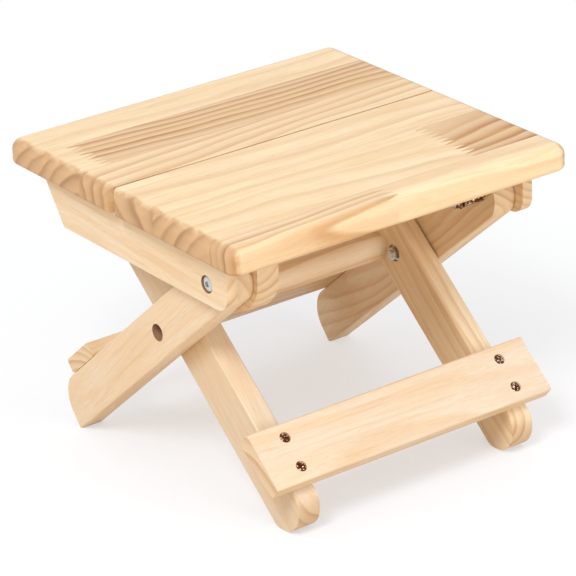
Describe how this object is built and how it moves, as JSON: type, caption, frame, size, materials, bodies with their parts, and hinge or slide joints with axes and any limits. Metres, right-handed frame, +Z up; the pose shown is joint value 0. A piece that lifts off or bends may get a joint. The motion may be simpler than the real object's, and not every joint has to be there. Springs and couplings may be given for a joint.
{
  "type": "folding wooden stool",
  "caption": "Low folding pine stool: seat of two boards on rails, crossed legs on bolts, board stretchers and a round rail.",
  "frame": {"origin": "on the floor, under the middle of the outline seen from above", "axes": "+X along the grain of the seat boards, -Y towards the side of the front stretcher, +Z up"},
  "size_m": [0.287, 0.278, 0.221],
  "materials": {
    "pine_seat": "clear lacquered pine, satin",
    "pine_frame": "clear lacquered pine, satin",
    "pine_hidden": "planed pine, matt",
    "zinc_steel": "zinc plated",
    "screw_steel": "dark yellow passivated steel"
  },
  "bodies": {
    "outer_frame": {"left_outer_leg": "pine_frame", "right_outer_leg": "pine_frame", "back_stretcher": "pine_frame", "back_screws": "screw_steel", "left_pivot_bolt": "zinc_steel", "right_pivot_bolt": "zinc_steel", "pivot_nuts": "zinc_steel", "leg_washers": "zinc_steel"},
    "seat": {"front_seat_board": "pine_seat", "back_seat_board": "pine_seat", "left_rail": "pine_frame", "right_rail": "pine_frame", "rest_batten": "pine_hidden", "inner_block": "pine_frame", "bolt_spacer": "zinc_steel", "left_top_bolt": "zinc_steel", "right_top_bolt": "zinc_steel", "top_nuts": "zinc_steel", "batten_screws": "screw_steel", "rail_dowels": "pine_hidden"},
    "inner_frame": {"left_inner_leg": "pine_frame", "right_inner_leg": "pine_frame", "front_stretcher": "pine_frame", "front_screws": "screw_steel", "dowel_rail": "pine_frame", "dowel_screws": "screw_steel"}
  },
  "joints": [
    {"name": "seat_fold", "type": "hinge", "parent": "outer_frame", "child": "seat", "pos_m": [0, -0.08343, 0.17868], "axis": [1, 0, 0], "range_deg": [0, 139]},
    {"name": "leg_scissor", "type": "hinge", "parent": "outer_frame", "child": "inner_frame", "pos_m": [0, -0.00716, 0.114], "axis": [1, 0, 0], "range_deg": [0, 98]}
  ],
  "couplings": [
    {"joint": "leg_scissor", "follows": "seat_fold", "ratio": 0.705}
  ]
}
